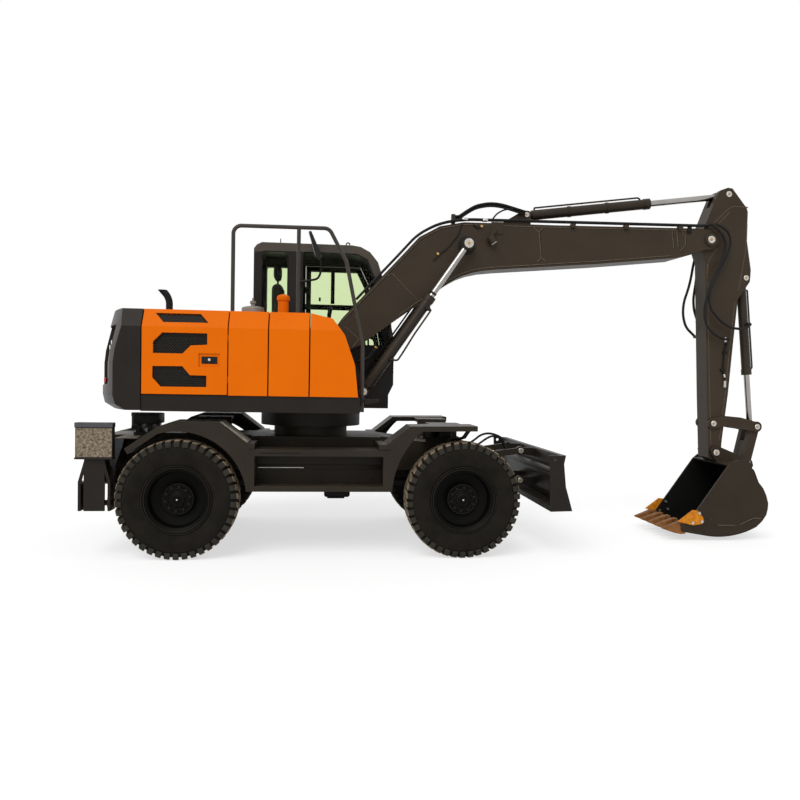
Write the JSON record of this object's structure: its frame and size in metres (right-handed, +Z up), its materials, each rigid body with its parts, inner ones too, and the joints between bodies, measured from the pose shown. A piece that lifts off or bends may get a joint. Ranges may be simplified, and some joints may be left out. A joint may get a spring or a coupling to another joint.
{
  "type": "wheeled excavator",
  "caption": "Four-wheeled excavator with a swinging upper body, one-piece boom, arm and bucket, dozer blade in front and folding outriggers behind.",
  "frame": {"origin": "on the ground at the middle of the bounding box", "axes": "+X forward along the boom, +Y to the machine's left, +Z up"},
  "size_m": [6.5729, 2.148, 3.581],
  "materials": {
    "frame_paint": "satin dark brown grey",
    "hood_orange": "gloss orange",
    "cab_paint": "satin black",
    "rod_chrome": "polished",
    "tyre": "dusty matte",
    "rim_paint": "satin black",
    "glass": "pale green tint",
    "seat_fabric": "woven",
    "hose": "matte",
    "engine_grey": "cast"
  },
  "bodies": {
    "chassis": {"chassis_frame": "frame_paint", "outrigger_beam": "frame_paint", "fenders_rear": "frame_paint", "fenders_front": "frame_paint", "side_steps": "frame_paint", "rear_axle": "frame_paint", "front_axle": "frame_paint", "driveline": "frame_paint"},
    "upper": {"upper_frame": "frame_paint", "counterweight": "frame_paint", "engine": "engine_grey", "hood_top": "hood_orange", "side_housings": "hood_orange", "exhaust": "cab_paint", "air_cleaner": "hood_orange", "handrail": "cab_paint", "cab_shell": "cab_paint", "cab_glass": "glass", "seat": "seat_fabric", "cab_fittings": "frame_paint"},
    "knuckle_right": {"knuckle_right": "frame_paint"},
    "wheel_front_right": {"rim_front_right": "rim_paint", "tyre_front_right": "tyre"},
    "wheel_rear_right": {"rim_rear_right": "rim_paint", "tyre_rear_right": "tyre"},
    "outrigger_leg_right": {"outrigger_leg_right": "frame_paint"},
    "outrigger_barrel_right": {"outrigger_barrel_right": "frame_paint"},
    "outrigger_rod_right": {"outrigger_rod_right": "rod_chrome"},
    "hood_door_right": {"hood_door_right": "hood_orange"},
    "knuckle_left": {"knuckle_left": "frame_paint"},
    "wheel_front_left": {"rim_front_left": "rim_paint", "tyre_front_left": "tyre"},
    "wheel_rear_left": {"rim_rear_left": "rim_paint", "tyre_rear_left": "tyre"},
    "outrigger_leg_left": {"outrigger_leg_left": "frame_paint"},
    "outrigger_barrel_left": {"outrigger_barrel_left": "frame_paint"},
    "outrigger_rod_left": {"outrigger_rod_left": "rod_chrome"},
    "hood_door_left": {"hood_door_left": "hood_orange"},
    "blade_arms": {"blade_arms": "frame_paint"},
    "blade_links": {"blade_links": "frame_paint"},
    "blade_board": {"blade": "frame_paint"},
    "blade_barrel": {"blade_barrel": "frame_paint"},
    "blade_rod": {"blade_rod": "rod_chrome"},
    "engine_lid": {"engine_lid": "hood_orange"},
    "cab_door": {"cab_door": "cab_paint", "door_glass": "glass"},
    "boom": {"boom": "frame_paint", "boom_hoses": "hose"},
    "lift_barrels": {"lift_barrels": "frame_paint"},
    "lift_rods": {"lift_rods": "rod_chrome"},
    "crowd_barrel": {"crowd_barrel": "frame_paint"},
    "crowd_rod": {"crowd_rod": "rod_chrome"},
    "arm": {"arm": "frame_paint", "arm_hoses": "hose"},
    "tilt_barrel": {"tilt_barrel": "frame_paint"},
    "tilt_rod": {"tilt_rod": "rod_chrome"},
    "rocker": {"rocker": "frame_paint"},
    "bucket_link": {"bucket_link": "frame_paint"},
    "bucket": {"bucket": "frame_paint", "bucket_teeth": "frame_paint"}
  },
  "joints": [
    {"name": "swing", "type": "hinge", "parent": "chassis", "child": "upper", "pos_m": [-1.3525, 0, 1.255], "axis": [0, 0, 1], "continuous": true},
    {"name": "steer_right", "type": "hinge", "parent": "chassis", "child": "knuckle_right", "pos_m": [-0.0025, -0.735, 0.509], "axis": [0, 0, 1], "range_deg": [-30, 30]},
    {"name": "steer_left", "type": "hinge", "parent": "chassis", "child": "knuckle_left", "pos_m": [-0.0025, 0.735, 0.509], "axis": [0, 0, 1], "range_deg": [-30, 30]},
    {"name": "wheel_front_right_spin", "type": "hinge", "parent": "knuckle_right", "child": "wheel_front_right", "pos_m": [-0.0025, -0.894, 0.509], "axis": [0, 1, 0], "continuous": true},
    {"name": "wheel_rear_right_spin", "type": "hinge", "parent": "chassis", "child": "wheel_rear_right", "pos_m": [-2.4525, -0.894, 0.509], "axis": [0, 1, 0], "continuous": true},
    {"name": "wheel_front_left_spin", "type": "hinge", "parent": "knuckle_left", "child": "wheel_front_left", "pos_m": [-0.0025, 0.894, 0.509], "axis": [0, 1, 0], "continuous": true},
    {"name": "wheel_rear_left_spin", "type": "hinge", "parent": "chassis", "child": "wheel_rear_left", "pos_m": [-2.4525, 0.894, 0.509], "axis": [0, 1, 0], "continuous": true},
    {"name": "blade_lift", "type": "hinge", "parent": "chassis", "child": "blade_arms", "pos_m": [0.1405, 0, 0.515], "axis": [0, -1, 0], "range_deg": [-43, 2]},
    {"name": "blade_link_turn", "type": "hinge", "parent": "chassis", "child": "blade_links", "pos_m": [0.1405, 0, 0.805], "axis": [0, -1, 0], "range_deg": [-43.86, 2.04]},
    {"name": "blade_level", "type": "hinge", "parent": "blade_arms", "child": "blade_board", "pos_m": [0.6955, 0, 0.593], "axis": [0, -1, 0], "range_deg": [-2.04, 43.86]},
    {"name": "blade_barrel_turn", "type": "hinge", "parent": "chassis", "child": "blade_barrel", "pos_m": [0.2475, 0, 0.9], "axis": [0, -1, 0], "range_deg": [-21.37, 0.99]},
    {"name": "blade_rod_slide", "type": "slide", "parent": "blade_barrel", "child": "blade_rod", "axis": [0.6458, 0, -0.7635], "range_m": [-0.0122, 0.2205]},
    {"name": "outrigger_right", "type": "hinge", "parent": "chassis", "child": "outrigger_leg_right", "pos_m": [-3.1325, -0.8, 0.455], "axis": [1, 0, 0], "range_deg": [0, 118]},
    {"name": "outrigger_barrel_right_turn", "type": "hinge", "parent": "chassis", "child": "outrigger_barrel_right", "pos_m": [-3.1325, -0.33, 0.9], "axis": [1, 0, 0], "range_deg": [-0.02, 17.19]},
    {"name": "outrigger_rod_right_slide", "type": "slide", "parent": "outrigger_barrel_right", "child": "outrigger_rod_right", "axis": [0, -0.9297, -0.3682], "range_m": [-0.002, 0.3952]},
    {"name": "outrigger_left", "type": "hinge", "parent": "chassis", "child": "outrigger_leg_left", "pos_m": [-3.1325, 0.8, 0.455], "axis": [-1, 0, 0], "range_deg": [0, 118]},
    {"name": "outrigger_barrel_left_turn", "type": "hinge", "parent": "chassis", "child": "outrigger_barrel_left", "pos_m": [-3.1325, 0.33, 0.9], "axis": [-1, 0, 0], "range_deg": [-0.02, 17.19]},
    {"name": "outrigger_rod_left_slide", "type": "slide", "parent": "outrigger_barrel_left", "child": "outrigger_rod_left", "axis": [0, 0.9297, -0.3682], "range_m": [-0.002, 0.3952]},
    {"name": "hood_door_right", "type": "hinge", "parent": "upper", "child": "hood_door_right", "pos_m": [-2.0475, -1, 1.4], "axis": [0, 0, 1], "range_deg": [0, 100]},
    {"name": "hood_door_left", "type": "hinge", "parent": "upper", "child": "hood_door_left", "pos_m": [-2.0475, 1, 1.4], "axis": [0, 0, -1], "range_deg": [0, 100]},
    {"name": "engine_lid", "type": "hinge", "parent": "upper", "child": "engine_lid", "pos_m": [-2.0925, 0, 2.116], "axis": [0, 1, 0], "range_deg": [0, 65]},
    {"name": "cab_door", "type": "hinge", "parent": "upper", "child": "cab_door", "pos_m": [-1.4375, 1.03, 1.5], "axis": [0, 0, 1], "range_deg": [0, 85]},
    {"name": "boom_lift", "type": "hinge", "parent": "upper", "child": "boom", "pos_m": [-1.1525, 0, 1.85], "axis": [0, -1, 0], "range_deg": [-45, 35]},
    {"name": "lift_barrel_turn", "type": "hinge", "parent": "upper", "child": "lift_barrels", "pos_m": [-0.8525, 0, 1.433], "axis": [0, -1, 0], "range_deg": [-42.47, 33.03]},
    {"name": "lift_rod_slide", "type": "slide", "parent": "lift_barrels", "child": "lift_rods", "axis": [0.5658, 0, 0.8246], "range_m": [-0.3728, 0.2904]},
    {"name": "arm_crowd", "type": "hinge", "parent": "boom", "child": "arm", "pos_m": [2.6675, 0, 3.035], "axis": [0, 1, 0], "range_deg": [-62, 20]},
    {"name": "crowd_barrel_turn", "type": "hinge", "parent": "boom", "child": "crowd_barrel", "pos_m": [0.7675, 0, 3.229], "axis": [0, 1, 0], "range_deg": [-3.02, 0.98]},
    {"name": "crowd_rod_slide", "type": "slide", "parent": "crowd_barrel", "child": "crowd_rod", "axis": [0.9908, 0, 0.1351], "range_m": [-0.5221, 0.1698]},
    {"name": "bucket_curl", "type": "hinge", "parent": "arm", "child": "bucket", "pos_m": [2.7955, 0, 0.863], "axis": [0, 1, 0], "range_deg": [-75, 48]},
    {"name": "rocker_turn", "type": "hinge", "parent": "arm", "child": "rocker", "pos_m": [2.7545, 0, 1.162], "axis": [0, 1, 0], "range_deg": [-60.76, 38.88]},
    {"name": "link_turn", "type": "hinge", "parent": "rocker", "child": "bucket_link", "pos_m": [3.2325, 0, 1.134], "axis": [0, 1, 0], "range_deg": [-28.74, 44.91]},
    {"name": "tilt_barrel_turn", "type": "hinge", "parent": "arm", "child": "tilt_barrel", "pos_m": [3.0845, 0, 2.667], "axis": [0, 1, 0], "range_deg": [-0.4, 0.61]},
    {"name": "tilt_rod_slide", "type": "slide", "parent": "tilt_barrel", "child": "tilt_rod", "axis": [0.0961, 0, -0.9954], "range_m": [-0.4412, 0.2831]}
  ],
  "couplings": [
    {"joint": "steer_left", "follows": "steer_right", "ratio": 1},
    {"joint": "blade_link_turn", "follows": "blade_lift", "ratio": 1},
    {"joint": "blade_level", "follows": "blade_lift", "ratio": -1},
    {"joint": "blade_barrel_turn", "follows": "blade_lift", "ratio": 0.4872},
    {"joint": "blade_rod_slide", "follows": "blade_lift", "m_per_rad": -0.2912},
    {"joint": "outrigger_barrel_right_turn", "follows": "outrigger_right", "ratio": 0.1428},
    {"joint": "outrigger_rod_right_slide", "follows": "outrigger_right", "m_per_rad": 0.1909},
    {"joint": "outrigger_barrel_left_turn", "follows": "outrigger_left", "ratio": 0.1428},
    {"joint": "outrigger_rod_left_slide", "follows": "outrigger_left", "m_per_rad": 0.1909},
    {"joint": "lift_barrel_turn", "follows": "boom_lift", "ratio": 0.9252},
    {"joint": "lift_rod_slide", "follows": "boom_lift", "m_per_rad": 0.4721},
    {"joint": "crowd_barrel_turn", "follows": "arm_crowd", "ratio": 0.0478},
    {"joint": "crowd_rod_slide", "follows": "arm_crowd", "m_per_rad": 0.4806},
    {"joint": "rocker_turn", "follows": "bucket_curl", "ratio": 0.7942},
    {"joint": "link_turn", "follows": "bucket_curl", "ratio": -0.587},
    {"joint": "tilt_barrel_turn", "follows": "bucket_curl", "ratio": -0.0079},
    {"joint": "tilt_rod_slide", "follows": "bucket_curl", "m_per_rad": 0.3355}
  ]
}
